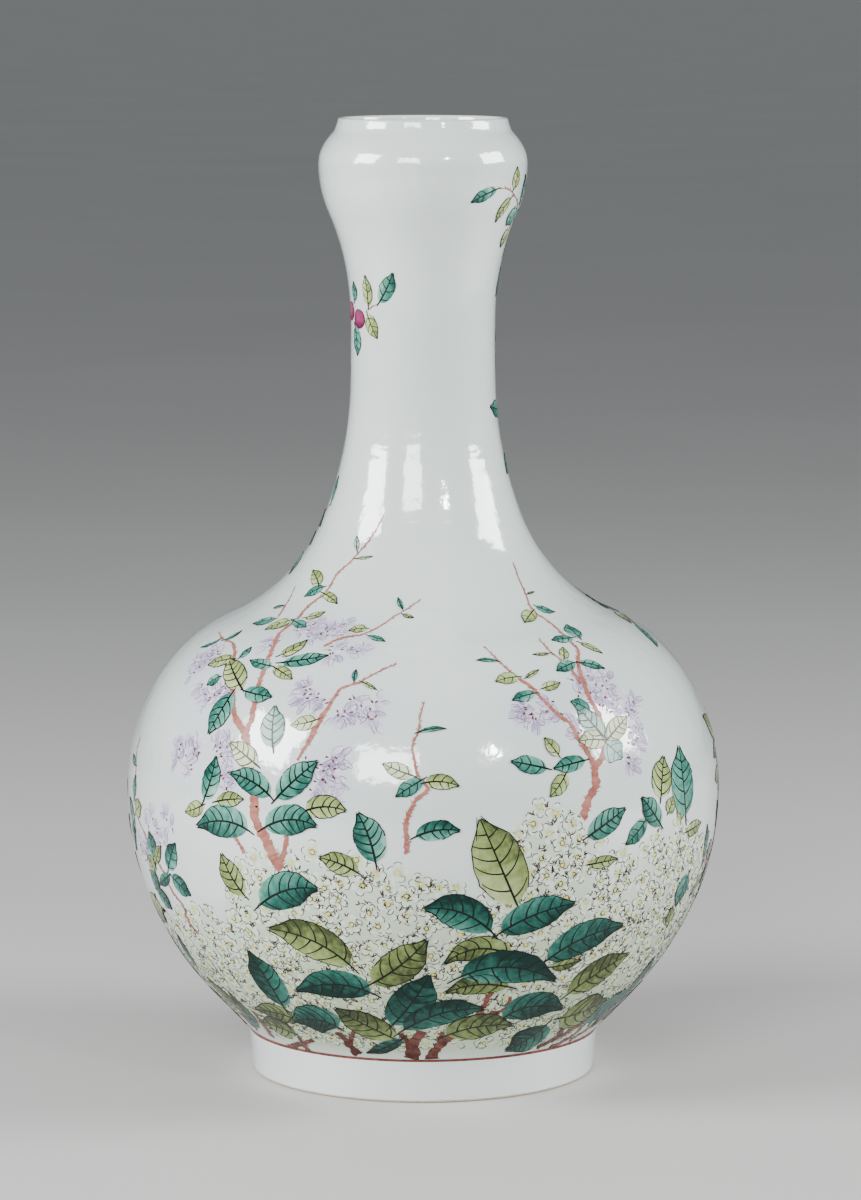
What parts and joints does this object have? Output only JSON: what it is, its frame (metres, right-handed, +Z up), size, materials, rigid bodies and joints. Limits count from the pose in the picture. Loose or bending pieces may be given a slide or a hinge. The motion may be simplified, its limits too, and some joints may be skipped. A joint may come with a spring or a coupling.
{
  "type": "garlic head vase",
  "caption": "Globular porcelain bottle vase with a slender neck and a garlic-bulb mouth, painted with flowering shrubs in overglaze enamels, on a turned foot, for flower stems.",
  "frame": {"origin": "centre of the foot rim, on the floor", "axes": "+Z up along the axis of the vase; -Y is the painted front that the picture shows"},
  "size_m": [0.249, 0.249, 0.4],
  "materials": {
    "porcelain": "clear glaze with a faint green-blue cast, high gloss",
    "slip": "fired porcelain slip under the same glaze",
    "iron_red": "thin iron-red overglaze enamel, satin",
    "turquoise_enamel": "translucent copper-green overglaze enamel, gloss",
    "olive_enamel": "translucent yellow-green overglaze enamel, gloss",
    "black_enamel": "brushed black-brown overglaze line, gloss",
    "white_enamel": "opaque white overglaze enamel, gloss",
    "lilac_enamel": "thin lilac overglaze enamel, gloss",
    "yellow_enamel": "opaque yellow overglaze enamel, gloss",
    "pink_enamel": "rose overglaze enamel, gloss"
  },
  "bodies": {
    "root": {"foot_ring": "porcelain", "foot_luting": "slip", "foot_line": "iron_red", "lower_body": "porcelain", "belly_luting": "slip", "upper_body": "porcelain", "neck_luting": "slip", "neck": "porcelain", "head_luting": "slip", "garlic_head": "porcelain"}
  },
  "joints": []
}
